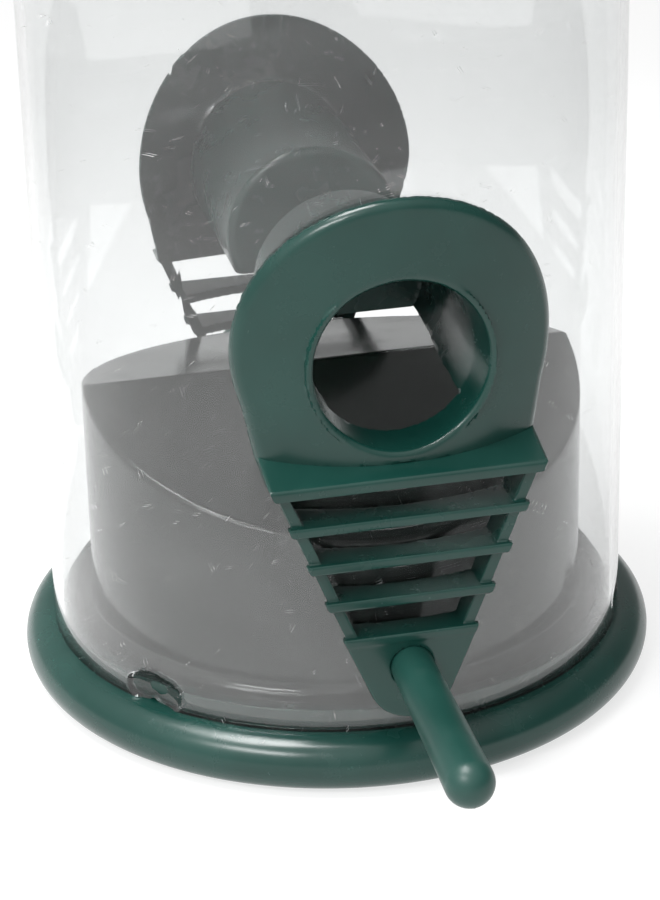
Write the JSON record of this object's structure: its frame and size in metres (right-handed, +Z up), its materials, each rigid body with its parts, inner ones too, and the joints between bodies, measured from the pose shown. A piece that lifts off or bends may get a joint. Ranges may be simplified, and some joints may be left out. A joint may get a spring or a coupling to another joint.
{
  "type": "tube bird feeder",
  "caption": "Gravity-fed seed feeder: clear tube on a round base, two ports with ladders and perches, lift-off lid and wire bail.",
  "frame": {"origin": "centre of the base at the ground, on the tube axis", "axes": "+Z up along the tube, the front port and its perch point along -Y, the rear port along +Y, the bail pivots lie along X"},
  "size_m": [0.1006, 0.145, 0.2958],
  "materials": {
    "leaf_plastic": "satin, moulded",
    "clear_plastic": "clear plastic, lightly scuffed",
    "wire_steel": "drawn wire"
  },
  "bodies": {
    "feeder": {"base_ring": "leaf_plastic", "seed_deflector": "leaf_plastic", "seed_tube": "clear_plastic", "front_port": "leaf_plastic", "rear_port": "leaf_plastic", "front_perch": "leaf_plastic", "rear_perch": "leaf_plastic", "top_collar": "leaf_plastic"},
    "lid": {"lid": "leaf_plastic"},
    "bail": {"bail": "wire_steel"}
  },
  "joints": [
    {"name": "lid_lift", "type": "slide", "parent": "feeder", "child": "lid", "axis": [0, 0, 1], "range_m": [0, 0.04]},
    {"name": "bail_swing", "type": "hinge", "parent": "feeder", "child": "bail", "pos_m": [0, 0, 0.2075], "axis": [1, 0, 0], "range_deg": [-150, 150]}
  ]
}
